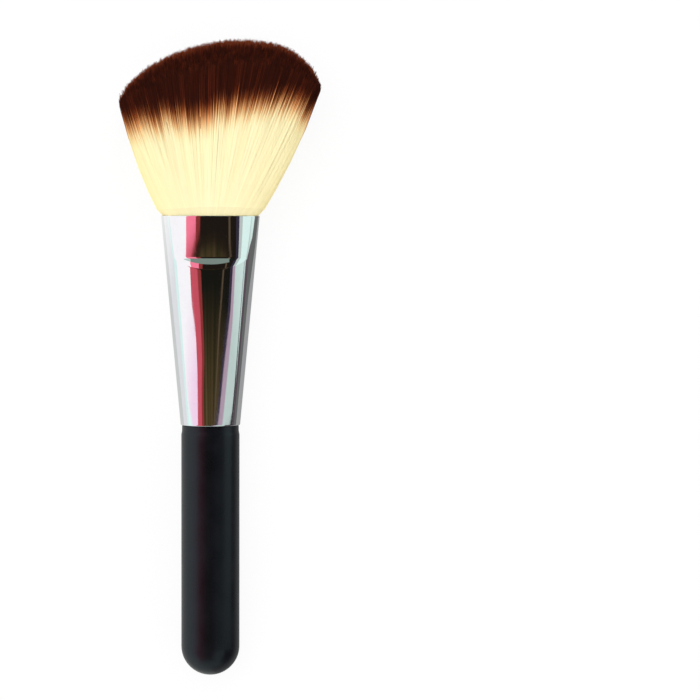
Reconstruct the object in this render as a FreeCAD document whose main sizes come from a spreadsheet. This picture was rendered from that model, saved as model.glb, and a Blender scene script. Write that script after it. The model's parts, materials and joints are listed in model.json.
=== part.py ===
import FreeCAD, Part
import math
import os
import random

import Sketcher
from FreeCAD import Placement, Rotation, Vector

# Angled face brush, lying on its back as it rests on a table. Millimetres.
# Every piece is drawn upright about the brush's own axis: Z runs from the butt to the tips,
# the shoulder where the ferrule stops is Z = 0 and the pressed front faces -Y. One common
# placement then lays the brush down, tips towards +Y and front up.

SIZES = {
    # Turned handle
    "handle_radius": 8.0,
    "handle_length": 69.0,
    "tenon_radius": 7.6,
    "tenon_length": 16.0,
    "tenon_bevel": 1.0,
    # Drawn ferrule: a thin tapered tube, pressed flatter front and back below its mouth
    "ferrule_length": 57.4,
    "base_radius": 8.15,
    "mouth_half_width": 13.5,
    "mouth_half_depth": 11.7,
    "sheet_gauge": 0.4,
    "press_height": 11.3,
    "press_half_depth": 10.0,
    "press_opening": 0.2,
    "press_bow": 18.0,
    "ledge_rise": 2.2,
    "ledge_depth": 1.05,
    "crest_round": 1.6,
    # Fibre bundle: its root inside the ferrule, then the slanted fan above the mouth
    "root_height": 30.0,
    "root_half_width": 9.3,
    "root_half_depth": 8.4,
    "neck_height": 36.0,
    "mouth_clearance": 0.15,
    "left_reach": 24.7,
    "left_height": 31.5,
    "apex_offset": 6.1,
    "apex_height": 48.4,
    "right_reach": 30.1,
    "right_height": 35.6,
    "fan_half_depth": 14.2,
    "fan_bow": 1.2,
    "crown_drop": 9.0,
    "lock_depth": 1.6,
    "flute_depth": 0.5,
    "belly_sag": 0.6,
    # Thread round the root, and the resin that holds root, thread and tenon
    "thread_radius": 0.4,
    "thread_lift": 1.6,
    "thread_clearance": 0.05,
    "resin_start": 2.0,
    "resin_end": 39.0,
}

THREAD_TURNS = 4
LOCKS_ACROSS = 32
LOCKS_DEEP = 16
FAN_LEVELS = 4
# The crown's outline is two superellipse quarters that meet at the apex: (across, up) powers
LEFT_POWERS = (1.63, 1.66)
RIGHT_POWERS = (2.66, 1.34)
APEX_SHARE = 0.15
LOCK_UNEVENNESS = 0.5
LOCK_SEED = 7
# The die reaches past the ferrule: above the mouth, beyond the ledge and round the bow, in degrees
DIE_OVERRUN = 1.0
LEDGE_OVERRUN = 4
DIE_SWEEP = 100
TOLERANCE = 0.01

doc = FreeCAD.newDocument("AngledBrush")
sheet = doc.addObject("Spreadsheet::Sheet", "Sizes")
for row, (alias, number) in enumerate(SIZES.items(), 1):
    sheet.set(f"A{row}", alias)
    sheet.set(f"B{row}", str(number))
    sheet.setAlias(f"B{row}", alias)
doc.recompute()


def size(alias):
    return float(sheet.get(alias))


def new_body(name):
    body = doc.addObject("PartDesign::Body", name)
    body.Label = name
    return body


def origin_plane(body, role):
    return next(feature for feature in body.Origin.OriginFeatures if feature.Role == role)


def new_sketch(body, name, role):
    sketch = body.newObject("Sketcher::SketchObject", name)
    sketch.AttachmentSupport = (origin_plane(body, role), [""])
    sketch.MapMode = "FlatFace"
    return sketch


def bind(sketch, constraint, expression):
    index = sketch.addConstraint(constraint)
    sketch.setExpression(f"Constraints[{index}]", expression)


def tie_start(sketch, edge, across, up):
    """Ties the start of an edge to its signed distances from the sketch's axes."""
    bind(sketch, Sketcher.Constraint("DistanceX", -1, 1, edge, 1, 1.0), across)
    bind(sketch, Sketcher.Constraint("DistanceY", -1, 1, edge, 1, 1.0), up)


def polygon(sketch, corners):
    """Draws a closed polygon whose corners are pairs of expressions (across, up)."""
    spots = [
        Vector(float(sketch.evalExpression(across)), float(sketch.evalExpression(up)), 0)
        for across, up in corners
    ]
    count = len(corners)
    for index in range(count):
        sketch.addGeometry(Part.LineSegment(spots[index], spots[(index + 1) % count]), False)
    for index in range(count):
        sketch.addConstraint(Sketcher.Constraint("Coincident", index, 2, (index + 1) % count, 1))
    for index, (across, up) in enumerate(corners):
        tie_start(sketch, index, across, up)


def ellipse(sketch, half_width, half_depth):
    """Draws an ellipse about the sketch's origin, its long axis along X."""
    wide = float(sketch.evalExpression(half_width))
    deep = float(sketch.evalExpression(half_depth))
    sketch.addGeometry(Part.Ellipse(Vector(wide, 0, 0), Vector(0, deep, 0), Vector(0, 0, 0)), False)
    sketch.exposeInternalGeometry(0)
    sketch.addConstraint(Sketcher.Constraint("Coincident", 0, 3, -1, 1))
    sketch.addConstraint(Sketcher.Constraint("Horizontal", 1))
    bind(sketch, Sketcher.Constraint("Distance", 1, 1.0), f"2 * ({half_width})")
    bind(sketch, Sketcher.Constraint("Distance", 2, 1.0), f"2 * ({half_depth})")


def make_handle():
    """Turned stick with a hemispherical butt and a bevelled tenon for the ferrule."""
    body = new_body("handle")
    sketch = new_sketch(body, "handle_profile", "XZ_Plane")
    polygon(
        sketch,
        [
            ("Sizes.handle_radius", "Sizes.handle_radius - Sizes.handle_length"),
            ("Sizes.handle_radius", "0"),
            ("Sizes.tenon_radius", "0"),
            ("Sizes.tenon_radius", "Sizes.tenon_length - Sizes.tenon_bevel"),
            ("Sizes.tenon_radius - Sizes.tenon_bevel", "Sizes.tenon_length"),
            ("0", "Sizes.tenon_length"),
            ("0", "Sizes.handle_radius - Sizes.handle_length"),
        ],
    )
    turned = body.newObject("PartDesign::Revolution", "turned_stick")
    turned.Profile = sketch
    turned.ReferenceAxis = (sketch, ["V_Axis"])
    turned.Angle = 360
    doc.recompute()
    dome = new_sketch(body, "butt_profile", "XZ_Plane")
    radius = size("handle_radius")
    centre = Vector(0, radius - size("handle_length"), 0)
    arc = Part.ArcOfCircle(Part.Circle(centre, Vector(0, 0, 1), radius), -math.pi / 2, 0)
    dome.addGeometry(arc, False)
    dome.addGeometry(Part.LineSegment(centre + Vector(radius, 0, 0), centre), False)
    dome.addGeometry(Part.LineSegment(centre, centre - Vector(0, radius, 0)), False)
    dome.addConstraint(Sketcher.Constraint("Coincident", 0, 2, 1, 1))
    dome.addConstraint(Sketcher.Constraint("Coincident", 1, 2, 2, 1))
    dome.addConstraint(Sketcher.Constraint("Coincident", 2, 2, 0, 1))
    dome.addConstraint(Sketcher.Constraint("Coincident", 0, 3, 1, 2))
    dome.addConstraint(Sketcher.Constraint("Horizontal", 1))
    dome.addConstraint(Sketcher.Constraint("Vertical", 2))
    bind(dome, Sketcher.Constraint("Radius", 0, radius), "Sizes.handle_radius")
    tie_start(dome, 2, "0", "Sizes.handle_radius - Sizes.handle_length")
    butt = body.newObject("PartDesign::Revolution", "round_butt")
    butt.Profile = dome
    butt.ReferenceAxis = (dome, ["V_Axis"])
    butt.Angle = 360
    body.Tip = butt
    return body


def crest_edges(shape, height):
    """Names of the curved edges that hang below the press line, where the ledge meets the taper."""
    names = []
    for index, edge in enumerate(shape.Edges, 1):
        box = edge.BoundBox
        is_level = box.ZLength < TOLERANCE
        if not is_level and box.ZMin > TOLERANCE and abs(box.ZMax - height) < TOLERANCE:
            names.append(f"Edge{index}")
    return names


def make_drawn_form(name, gauges):
    """Solid of the ferrule's outer form, or of its inside when it is one gauge smaller all round."""
    inset = f"{gauges} * Sizes.sheet_gauge"
    body = new_body(name)
    base = new_sketch(body, f"{name}_base", "XY_Plane")
    ellipse(base, f"Sizes.base_radius - {inset}", f"Sizes.base_radius - {inset}")
    mouth = new_sketch(body, f"{name}_mouth", "XY_Plane")
    mouth.setExpression("AttachmentOffset.Base.z", "Sizes.ferrule_length")
    ellipse(mouth, f"Sizes.mouth_half_width - {inset}", f"Sizes.mouth_half_depth - {inset}")
    cone = body.newObject("PartDesign::AdditiveLoft", f"{name}_cone")
    cone.Profile = base
    cone.Sections = [mouth]
    cone.Ruled = True
    doc.recompute()

    # The press: a bowed die turned about an axis behind the face, with a sloping ledge at its foot
    slope = "atan(Sizes.ledge_depth / Sizes.ledge_rise)"
    corner = f"Sizes.ferrule_length - Sizes.press_height - {inset} * tan({slope} / 2)"
    bow = f"Sizes.press_bow - {inset}"
    opening = f"Sizes.press_opening * (1 + {DIE_OVERRUN} / Sizes.press_height)"
    above = f"Sizes.ferrule_length + {DIE_OVERRUN}"
    reach = f"-({bow}) - {LEDGE_OVERRUN} * Sizes.ledge_depth"
    die = new_sketch(body, f"{name}_die", "YZ_Plane")
    die.setExpression("AttachmentOffset.Base.x", "Sizes.press_bow - Sizes.press_half_depth")
    polygon(
        die,
        [
            (f"-({bow})", corner),
            (f"-({bow}) - {opening}", above),
            (reach, above),
            (reach, f"{corner} - {LEDGE_OVERRUN} * Sizes.ledge_rise"),
        ],
    )
    front = body.newObject("PartDesign::Groove", f"{name}_front_press")
    front.Profile = die
    front.ReferenceAxis = (die, ["V_Axis"])
    front.Midplane = True
    front.Angle = DIE_SWEEP
    doc.recompute()
    back = body.newObject("PartDesign::Mirrored", f"{name}_back_press")
    back.Originals = [front]
    back.MirrorPlane = (origin_plane(body, "XZ_Plane"), [""])
    body.Tip = back
    doc.recompute()
    if not back.Shape.Volume < front.Shape.Volume < cone.Shape.Volume:
        raise RuntimeError(f"{name}: a press cuts nothing")

    # The sheet bends over its crest, where the ledge meets the taper
    crest = body.newObject("PartDesign::Fillet", f"{name}_crest")
    crest.Base = (back, crest_edges(back.Shape, float(body.evalExpression(corner))))
    crest.setExpression("Radius", f"Sizes.crest_round - {inset}")
    body.Tip = crest
    return body


def make_ferrule():
    """Thin shell between the outer form and the inner one."""
    ferrule = doc.addObject("Part::Cut", "ferrule")
    ferrule.Label = "ferrule"
    ferrule.Base = make_drawn_form("ferrule_outside", 0)
    ferrule.Tool = make_drawn_form("ferrule_inside", 1)
    return ferrule


def make_thread():
    """Thread wound tightly round the root: turns side by side, flat where they bite the fibres."""
    body = new_body("root_thread")
    lift = "Sizes.root_height + Sizes.thread_lift"
    route = new_sketch(body, "thread_route", "XY_Plane")
    route.setExpression("AttachmentOffset.Base.z", lift)
    half_width = "Sizes.root_half_width + Sizes.thread_clearance"
    half_depth = "Sizes.root_half_depth + Sizes.thread_clearance"
    ellipse(route, half_width, half_depth)
    section = new_sketch(body, "thread_section", "XZ_Plane")
    radius = size("thread_radius")
    inner = float(body.evalExpression(half_width))
    bottom = float(body.evalExpression(lift))
    for turn in range(THREAD_TURNS):
        centre = Vector(inner, bottom + (2 * turn + 1) * radius, 0)
        circle = Part.Circle(centre, Vector(0, 0, 1), radius)
        section.addGeometry(Part.ArcOfCircle(circle, -math.pi / 2, math.pi / 2), False)
    top = Vector(inner, bottom + 2 * THREAD_TURNS * radius, 0)
    section.addGeometry(Part.LineSegment(top, Vector(inner, bottom, 0)), False)
    for turn in range(THREAD_TURNS):
        bind(section, Sketcher.Constraint("Radius", turn, radius), "Sizes.thread_radius")
        section.addConstraint(Sketcher.Constraint("Coincident", turn, 2, turn + 1, 1))
        section.addConstraint(Sketcher.Constraint("PointOnObject", turn, 3, THREAD_TURNS))
    section.addConstraint(Sketcher.Constraint("Coincident", THREAD_TURNS, 2, 0, 1))
    section.addConstraint(Sketcher.Constraint("Vertical", THREAD_TURNS))
    tie_start(section, 0, half_width, lift)
    wound = body.newObject("PartDesign::AdditivePipe", "wound_thread")
    wound.Profile = section
    wound.Spine = (route, ["Edge1"])
    body.Tip = wound
    return body


def crown_point(share):
    """Point of the crown's outline, share running from -1 at its left tip to 1 at its right one."""
    if share < APEX_SHARE:
        turn = math.pi / 2 * (APEX_SHARE - share) / (APEX_SHARE + 1)
        powers, reach, height = LEFT_POWERS, size("left_reach") + size("apex_offset"), size("left_height")
        side = -1
    else:
        turn = math.pi / 2 * (share - APEX_SHARE) / (1 - APEX_SHARE)
        powers, reach, height = RIGHT_POWERS, size("right_reach") - size("apex_offset"), size("right_height")
        side = 1
    across = size("apex_offset") + side * reach * math.sin(turn) ** (2 / powers[0])
    up = height + (size("apex_height") - height) * math.cos(turn) ** (2 / powers[1])
    return across, size("ferrule_length") + up


def disc_point(column, row):
    """Maps a lock's grid corner, each way from -1 to 1, to the unit disc."""
    return column * math.sqrt(1 - row * row / 2), row * math.sqrt(1 - column * column / 2)


def inside_depth(across, height):
    """Half depth of the ferrule's inside at this distance across, at this height."""
    gauge = size("sheet_gauge") + size("mouth_clearance")
    share = height / size("ferrule_length")
    wide = size("base_radius") + (size("mouth_half_width") - size("base_radius")) * share - gauge
    deep = size("base_radius") + (size("mouth_half_depth") - size("base_radius")) * share - gauge
    round_depth = deep * math.sqrt(max(0, 1 - (across / wide) ** 2))
    above_press = height - size("ferrule_length") + size("press_height")
    if above_press < -TOLERANCE:
        return wide, round_depth
    bow = size("press_bow")
    opened = size("press_opening") * above_press / size("press_height")
    face = size("press_half_depth") + opened - gauge - bow + math.sqrt(bow * bow - across * across)
    return wide, min(round_depth, face)


def packed_point(disc, height):
    """Place of a fibre in the ferrule at this height, from its place in the unit disc."""
    wide = inside_depth(0, height)[0]
    across = wide * disc[0]
    rim = math.sqrt(max(0, 1 - disc[0] ** 2))
    deep = inside_depth(across, height)[1]
    return Vector(across, deep * disc[1] / rim if rim > TOLERANCE else 0, height)


def fan_point(disc, share):
    """Place along a fibre above the mouth, share running from 0 at the mouth to 1 at its tip."""
    start = packed_point(disc, size("ferrule_length"))
    across, up = crown_point(disc[0])
    chord = math.sqrt(max(TOLERANCE, 1 - disc[0] ** 2))
    depth = size("fan_half_depth") * disc[1]
    drop = size("crown_drop") * chord * (1 - math.sqrt(max(0, 1 - (disc[1] / chord) ** 2)))
    tip = Vector(across, depth, up - drop)
    swell = 4 * share * (1 - share) * size("fan_bow")
    return start + (tip - start) * share + Vector(disc[0], disc[1], 0) * swell


def clamp_to_floor(spots, tilt, floor):
    """Flattens what would sink below the table, moving it straight up in the lying position."""
    rise = Vector(0, -math.cos(tilt), math.sin(tilt))
    return [spot + rise * max(0, floor - spot.dot(rise)) for spot in spots]


def rest_tilt(spots):
    """Tilt at which the sagging belly of the fan and the round butt touch one floor together."""
    radius = size("handle_radius")
    butt = radius - size("handle_length")

    def clearance(tilt):
        rise = Vector(0, -math.cos(tilt), math.sin(tilt))
        belly = min(spot.dot(rise) for spot in spots) + size("belly_sag")
        return belly - (butt * math.sin(tilt) - radius)

    low, high = 0.0, math.radians(20)
    for step in range(40):
        middle = (low + high) / 2
        if clearance(middle) < 0:
            low = middle
        else:
            high = middle
    return high


def rim_walk():
    """Grid steps round the rim of the bundle, anticlockwise: columns and rows of the lock grid."""
    walk = [(column, 0) for column in range(LOCKS_ACROSS)]
    walk += [(LOCKS_ACROSS, row) for row in range(LOCKS_DEEP)]
    walk += [(column, LOCKS_DEEP) for column in range(LOCKS_ACROSS, 0, -1)]
    walk += [(0, row) for row in range(LOCKS_DEEP, 0, -1)]
    return walk


def grid_disc(column, row):
    """Place of a grid corner in the unit disc, its rows closer where the crown falls away at the rim."""
    return disc_point(2 * column / LOCKS_ACROSS - 1, math.sin(math.pi * (row / LOCKS_DEEP - 0.5)))


def flute(spot, disc, proud):
    """Moves a side point out to the ridge of its lock or in to the furrow between two."""
    return spot + Vector(disc[0], disc[1], 0) * (proud * size("flute_depth") / 2)


def tuft_mesh():
    """Points and triangles of the fibre bundle: a fluted fan whose crown is a grid of pointed locks."""
    chance = random.Random(LOCK_SEED)
    points = []
    faces = []

    def add(spot):
        points.append(spot)
        return len(points) - 1

    def crown(disc, sink):
        tip = fan_point(disc, 1)
        return tip - (tip - fan_point(disc, 1 - TOLERANCE)).normalize() * sink

    # Rings up the side: in the ferrule, then up the fan. Each lock has a furrow and a ridge
    rim = rim_walk()
    rim_discs = []
    for here, after in zip(rim, rim[1:] + rim[:1]):
        rim_discs.append((grid_disc(*here), -1))
        middle = ((here[0] + after[0]) / 2, (here[1] + after[1]) / 2)
        rim_discs.append((grid_disc(*middle), 1))
    root = size("root_height")
    neck = size("neck_height")
    press = size("ferrule_length") - size("press_height")
    rings = []
    for height in (root, neck):
        wide, deep = size("root_half_width"), size("root_half_depth")
        rings.append([add(Vector(wide * disc[0], deep * disc[1], height)) for disc, proud in rim_discs])
    for height in (press, size("ferrule_length")):
        rings.append([add(packed_point(disc, height)) for disc, proud in rim_discs])
    for level in range(1, FAN_LEVELS):
        share = level / FAN_LEVELS
        ring = [flute(fan_point(disc, share), disc, proud * share) for disc, proud in rim_discs]
        rings.append([add(spot) for spot in ring])

    # The crown: furrow points at the grid's corners, a raised peak in each lock
    sink = size("lock_depth")
    corner = {}
    for column in range(LOCKS_ACROSS + 1):
        for row in range(LOCKS_DEEP + 1):
            disc = grid_disc(column, row)
            spot = crown(disc, sink)
            if (column, row) in rim:
                spot = flute(spot, disc, -1)
            corner[column, row] = add(spot)
    ridge = {}
    for here, after in zip(rim, rim[1:] + rim[:1]):
        disc = grid_disc((here[0] + after[0]) / 2, (here[1] + after[1]) / 2)
        ridge[here, after] = add(flute(crown(disc, sink / 2), disc, 1))
    rings.append(
        [
            spot
            for here, after in zip(rim, rim[1:] + rim[:1])
            for spot in (corner[here], ridge[here, after])
        ]
    )
    for column in range(LOCKS_ACROSS):
        for row in range(LOCKS_DEEP):
            uneven = chance.uniform(0, LOCK_UNEVENNESS) * sink
            peak = add(crown(grid_disc(column + 0.5, row + 0.5), uneven))
            loop = [(column, row), (column + 1, row), (column + 1, row + 1), (column, row + 1)]
            for here, after in zip(loop, loop[1:] + loop[:1]):
                if (here, after) in ridge:
                    middle = ridge[here, after]
                    faces.append((corner[here], middle, peak))
                    faces.append((middle, corner[after], peak))
                else:
                    faces.append((corner[here], corner[after], peak))

    # Sides between the rings, and the flat root
    for lower, upper in zip(rings, rings[1:]):
        count = len(lower)
        for index in range(count):
            following = (index + 1) % count
            faces.append((lower[index], lower[following], upper[following]))
            faces.append((lower[index], upper[following], upper[index]))
    centre = add(Vector(0, 0, root))
    for index, start in enumerate(rings[0]):
        faces.append((centre, rings[0][(index + 1) % len(rings[0])], start))
    return points, faces


def make_tuft():
    points, faces = tuft_mesh()
    tilt = rest_tilt(points)
    radius = size("handle_radius")
    floor = (radius - size("handle_length")) * math.sin(tilt) - radius
    points = clamp_to_floor(points, tilt, floor)
    shell = Part.Shape()
    shell.makeShapeFromMesh((points, faces), TOLERANCE / 10)
    tuft = doc.addObject("Part::Feature", "bristle_tuft")
    tuft.Label = "bristle_tuft"
    tuft.Shape = Part.Solid(Part.Shell(shell.Faces))
    return tuft, tilt


def make_resin(lying, handle, tuft, thread, inside):
    """Resin poured round root, thread and tenon: what they leave free of a slice of the inside."""
    slab = doc.addObject("Part::Cylinder", "resin_slab")
    slab.setExpression("Radius", "Sizes.mouth_half_width + Sizes.mouth_half_depth")
    slab.setExpression("Height", "Sizes.resin_end - Sizes.resin_start")
    slab.Placement = lying.multiply(Placement(Vector(0, 0, size("resin_start")), Rotation()))
    poured = doc.addObject("Part::Common", "poured_resin")
    poured.Base = inside
    poured.Tool = slab
    around_tenon = doc.addObject("Part::Cut", "resin_round_tenon")
    around_tenon.Base = poured
    around_tenon.Tool = handle
    around_thread = doc.addObject("Part::Cut", "resin_round_thread")
    around_thread.Base = around_tenon
    around_thread.Tool = thread
    resin = doc.addObject("Part::Cut", "resin_plug")
    resin.Label = "resin_plug"
    resin.Base = around_thread
    resin.Tool = tuft
    return resin


def lying_placement(shapes, tilt):
    """Placement that lays the upright shapes on their backs, centred over the origin."""
    turn = Rotation(Vector(1, 0, 0), math.degrees(tilt) - 90)
    lying = [shape.copy() for shape in shapes]
    for shape in lying:
        shape.Placement = Placement(Vector(), turn).multiply(shape.Placement)
    box = Part.makeCompound(lying).optimalBoundingBox(False)
    return Placement(Vector(-box.Center.x, -box.Center.y, -box.ZMin), turn)


def check_pieces(pieces):
    for item in doc.Objects:
        if "Invalid" in item.State or "Error" in item.State:
            raise RuntimeError(f"{item.Name} is {item.State}")
    for piece in pieces:
        if piece.Shape.isNull() or not piece.Shape.isValid() or len(piece.Shape.Solids) != 1:
            raise RuntimeError(f"{piece.Label} is not one valid solid")


handle = make_handle()
ferrule = make_ferrule()
thread = make_thread()
tuft, tilt = make_tuft()
doc.recompute()
lying = lying_placement([handle.Shape, ferrule.Shape, tuft.Shape], tilt)
for piece in (handle, ferrule.Base, ferrule.Tool, thread, tuft):
    piece.Placement = lying
resin = make_resin(lying, handle, tuft, thread, ferrule.Tool)
doc.recompute()

pieces = [handle, ferrule, tuft, thread, resin]
check_pieces(pieces)
os.makedirs("parts", exist_ok=True)
for piece in pieces:
    piece.Shape.exportStep(f"parts/{piece.Label}.step")
    print(piece.Label, round(piece.Shape.Volume, 1), piece.Shape.BoundBox)
print("tilt", round(math.degrees(tilt), 3), "shoulder of the handle at", lying.Base)
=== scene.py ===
"""Looks for the angled kabuki brush: lacquered handle, mirror-bright pressed ferrule and dyed fibre fan.

Every piece is drawn in the brush's own upright frame (X across, Y from the pressed front to the
back, Z from the shoulder of the handle to the tips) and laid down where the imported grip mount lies.
"""

import json
import math

import bpy
import numpy as np
from bpy.props import FloatProperty, FloatVectorProperty, IntProperty, PointerProperty
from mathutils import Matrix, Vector


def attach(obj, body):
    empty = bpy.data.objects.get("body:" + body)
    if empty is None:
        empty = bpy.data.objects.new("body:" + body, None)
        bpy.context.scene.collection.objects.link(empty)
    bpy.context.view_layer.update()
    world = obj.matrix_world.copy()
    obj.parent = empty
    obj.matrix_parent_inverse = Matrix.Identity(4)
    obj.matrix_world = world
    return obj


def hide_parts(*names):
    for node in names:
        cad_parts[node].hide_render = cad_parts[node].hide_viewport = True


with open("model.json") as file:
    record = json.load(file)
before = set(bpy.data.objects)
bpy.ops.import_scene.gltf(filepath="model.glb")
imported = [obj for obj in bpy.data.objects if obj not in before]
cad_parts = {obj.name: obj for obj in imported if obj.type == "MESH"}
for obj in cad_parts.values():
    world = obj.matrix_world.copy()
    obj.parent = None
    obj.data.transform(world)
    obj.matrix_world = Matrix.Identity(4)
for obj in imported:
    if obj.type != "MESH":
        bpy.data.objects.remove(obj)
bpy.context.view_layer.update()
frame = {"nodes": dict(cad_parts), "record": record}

bl_info = {
    "name": "Kabuki Brush Dresser",
    "version": (1, 0, 0),
    "blender": (4, 5, 0),
    "location": "View3D > Sidebar > Kabuki Brush",
    "description": "Turns, presses and plants the visible pieces of an angled kabuki brush",
    "category": "Object",
}

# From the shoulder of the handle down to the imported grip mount
GRIP_BELOW_SHOULDER = 0.030
# The crown's outline is two quarter curves that meet at its apex: their powers across and up, and where
# the apex is between the left tip at -1 and the right tip at 1
LEFT_POWERS = (1.63, 1.66)
RIGHT_POWERS = (3.1, 1.5)
APEX_SHARE = 0.15
# Length of dyed fibre on the pressed side, by place across the fan from its left to its right tip
DYE_SHARES = (-1.0, -0.5, -0.1, 0.3, 0.7, 1.0)
DYE_LENGTHS = (0.0034, 0.0068, 0.0115, 0.0086, 0.0051, 0.0078)
# Distances past the edge of its dye between which a fibre turns from cream to brown, how far locks move
# that edge, and the length of the ends along the crest that get a painted rim light
DYE_FADE = (-0.006, 0.004)
DYE_STREAK = 0.0022
PAINTED_RIM_LENGTH = 0.003
# What the bristle map spans: steps of dyed length across it, each as wide as all the fibres' tints,
# and the distance from the tip down it
DYE_STEPS = 36
DYE_STEP = 0.001
MAP_LENGTH = 0.08
# Share of its height within which a fibre that leaves the mouth has swelled out over the rim
SWELL_SHARE = 0.03
# How far from the crest the painted rim light on the ends fades away, as shares of the way to the crown's
# front
PAINTED_RIM_LEAN = (0.38, 0.68)
# How softly the pressed face turns into the ledge
LEDGE_BLEND = 0.0002
# The core under the fibres: its reach in the unit disc, the share of its height at which its side ends,
# and how deep it lies under the tips
CORE_REACH = 0.93
CORE_SIDE_END = 0.955
CORE_SINK = 0.0021
# The fibres of a face and of the crown: the rings of the unit disc that they fill, and the shares of
# the way from the mouth to the tips at which they start
FACE_RING = (0.9, 0.985)
FACE_START = -0.02
CROWN_RING = (0.0, 0.95)
CROWN_START = 0.72
# How far above the table the fibres and the core stay
FIBRE_LIFT = 0.0003
CORE_LIFT = 0.0004
# Places along the brush's length, in metres, at which the edges of the reflected cards are given
CARD_SPOTS = (-3.0, -0.49, -0.44, -0.40, -0.36, -0.32, -0.24, -0.118, -0.089, 1.0)
FIRST_SPOT, LAST_SPOT = CARD_SPOTS[0], CARD_SPOTS[-1]
# Columns of points across a card, and how high over the table the line is that the cards stand round
CARD_COLUMNS = 9
CARD_LIFT = 0.01
WHITE = (1.0, 1.0, 1.0, 1.0)


# Sizes and colours a user would change


def length(name, description, default):
    return FloatProperty(
        name=name, description=description, default=default, min=0.0, unit="LENGTH", precision=5
    )


def portion(name, description, default):
    return FloatProperty(name=name, description=description, default=default, min=0.0, max=1.0)


def power(name, description, default):
    return FloatProperty(name=name, description=description, default=default, min=0.0, unit="POWER")


def colour(name, description, default):
    return FloatVectorProperty(
        name=name, description=description, default=default, min=0.0, max=1.0, size=4, subtype="COLOR"
    )


class HandleSizes(bpy.types.PropertyGroup):
    radius: length("Radius", "Half the thickness of the turned stick", 0.008)
    stick: length("Stick length", "From the shoulder to the end of the round butt", 0.069)
    tenon_radius: length("Tenon radius", "Half the thickness of the tenon inside the ferrule", 0.0076)
    tenon: length("Tenon length", "How far the tenon stands past the shoulder", 0.016)
    tenon_bevel: length("Tenon bevel", "Bevel on the end of the tenon", 0.001)
    shoulder_round: length("Shoulder round", "Softened edge where the stick meets the ferrule", 0.00035)
    collar: length("Collar", "Length of the slightly thinner collar under the shoulder", 0.0021)
    collar_step: length("Collar step", "How much thinner the collar is on each side", 0.0002)


class FerruleSizes(bpy.types.PropertyGroup):
    tube: length("Length", "From the foot of the ferrule to its mouth", 0.0574)
    foot_radius: length("Foot radius", "Outer radius of the round foot", 0.00815)
    mouth_half_width: length("Mouth half width", "Half the width of the oval mouth", 0.0135)
    mouth_half_depth: length("Mouth half depth", "Half the depth of the oval before it is pressed", 0.0117)
    gauge: length("Sheet gauge", "Thickness of the plated sheet", 0.0004)
    press_height: length("Press height", "How far below the mouth the die pressed the sheet", 0.0116)
    press_half_depth: length("Pressed half depth", "From the axis to the pressed face", 0.0100)
    press_opening: length("Press opening", "How far the pressed faces open towards the mouth", 0.0002)
    press_bow: length("Press bow", "Radius of the bowed die", 0.018)
    ledge_slope: FloatProperty(
        name="Ledge slope", description="Rise of the ledge out of the pressed face for its height",
        default=0.42, min=0.0,
    )
    crest_blend: length("Crest blend", "How softly the sheet bends over the crest of the ledge", 0.0006)
    side_blend: length("Side blend", "How softly the pressed face turns into the round sides", 0.0014)
    edge_round: length("Cut edge round", "Softened edge of the cut sheet", 0.00018)


class FanSizes(bpy.types.PropertyGroup):
    left_reach: length("Left reach", "From the axis to the left tip of the fan", 0.0247)
    left_height: length("Left height", "Height of the left tip above the mouth", 0.0315)
    apex_offset: length("Apex offset", "From the axis to the highest tips", 0.0061)
    apex_height: length("Apex height", "Height of the highest tips above the mouth", 0.0484)
    right_reach: length("Right reach", "From the axis to the right tip of the fan", 0.0301)
    right_height: length("Right height", "Height of the right tip above the mouth", 0.0356)
    half_depth: length("Half depth", "Half the depth of the fan at its tips", 0.0142)
    bow: length("Bow", "How far the side fibres bow outwards", 0.0012)
    swell: length("Swell", "How far the fibres swell out over the ferrule's rim", 0.0011)
    crown_drop: length("Crown drop", "How much lower the outer tips of the crown stand", 0.009)
    clearance: length("Mouth clearance", "Gap between the fibres and the inside of the ferrule", 0.00015)


class FibreSizes(bpy.types.PropertyGroup):
    side_count: IntProperty(
        name="Side fibres", description="Whole fibres on each face of the fan", default=5600, min=10
    )
    crown_count: IntProperty(
        name="Crown fibres", description="Short fibres in each third of the crown", default=9000, min=10
    )
    radius: length("Fibre radius", "Half the thickness of a fibre", 0.00013)
    taper: portion("Taper", "Share of its thickness a fibre loses by its tip", 0.75)
    scatter: length("Tip scatter", "How far a tip strays from its place", 0.0004)
    unevenness: length("Unevenness", "How much shorter the shortest fibres of a lock are", 0.0016)
    lock_size: length("Lock size", "Width of the fine locks that the tips gather in", 0.0009)
    lock_pull: portion("Lock pull", "Share of the way to the middle of its lock that a tip is drawn", 0.4)
    dye_spread: length("Dye spread", "How far the edge of the dye varies from fibre to fibre", 0.0011)
    seed: IntProperty(name="Seed", description="Start of the fibres' random spread", default=11)


class FinishColours(bpy.types.PropertyGroup):
    lacquer: colour("Lacquer", "Black of the handle", (0.0030, 0.0030, 0.0045, 1.0))
    plate: colour("Plate", "Plated ferrule", (0.93, 0.94, 0.945, 1.0))
    cream: colour("Cream", "Undyed fibre", (0.99, 0.905, 0.56, 1.0))
    peach: colour("Peach", "Fibre that the dye has just reached", (0.95, 0.74, 0.38, 1.0))
    tan: colour("Tan", "Fibre at the edge of the dye", (0.80, 0.36, 0.125, 1.0))
    rust: colour("Rust", "Lightly dyed fibre", (0.28, 0.060, 0.012, 1.0))
    brown: colour("Brown", "Fully dyed fibre", (0.062, 0.0074, 0.0010, 1.0))
    # The tip colour is a painted rim light on the dyed ends along the crest
    tip: colour("Tip", "Lighter ends of the dyed fibres along the crest", (0.112, 0.030, 0.012, 1.0))
    resin: colour("Resin", "Setting resin in the ferrule", (0.55, 0.36, 0.1, 1.0))
    yarn: colour("Thread", "Binding thread", (0.8, 0.77, 0.68, 1.0))


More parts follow.
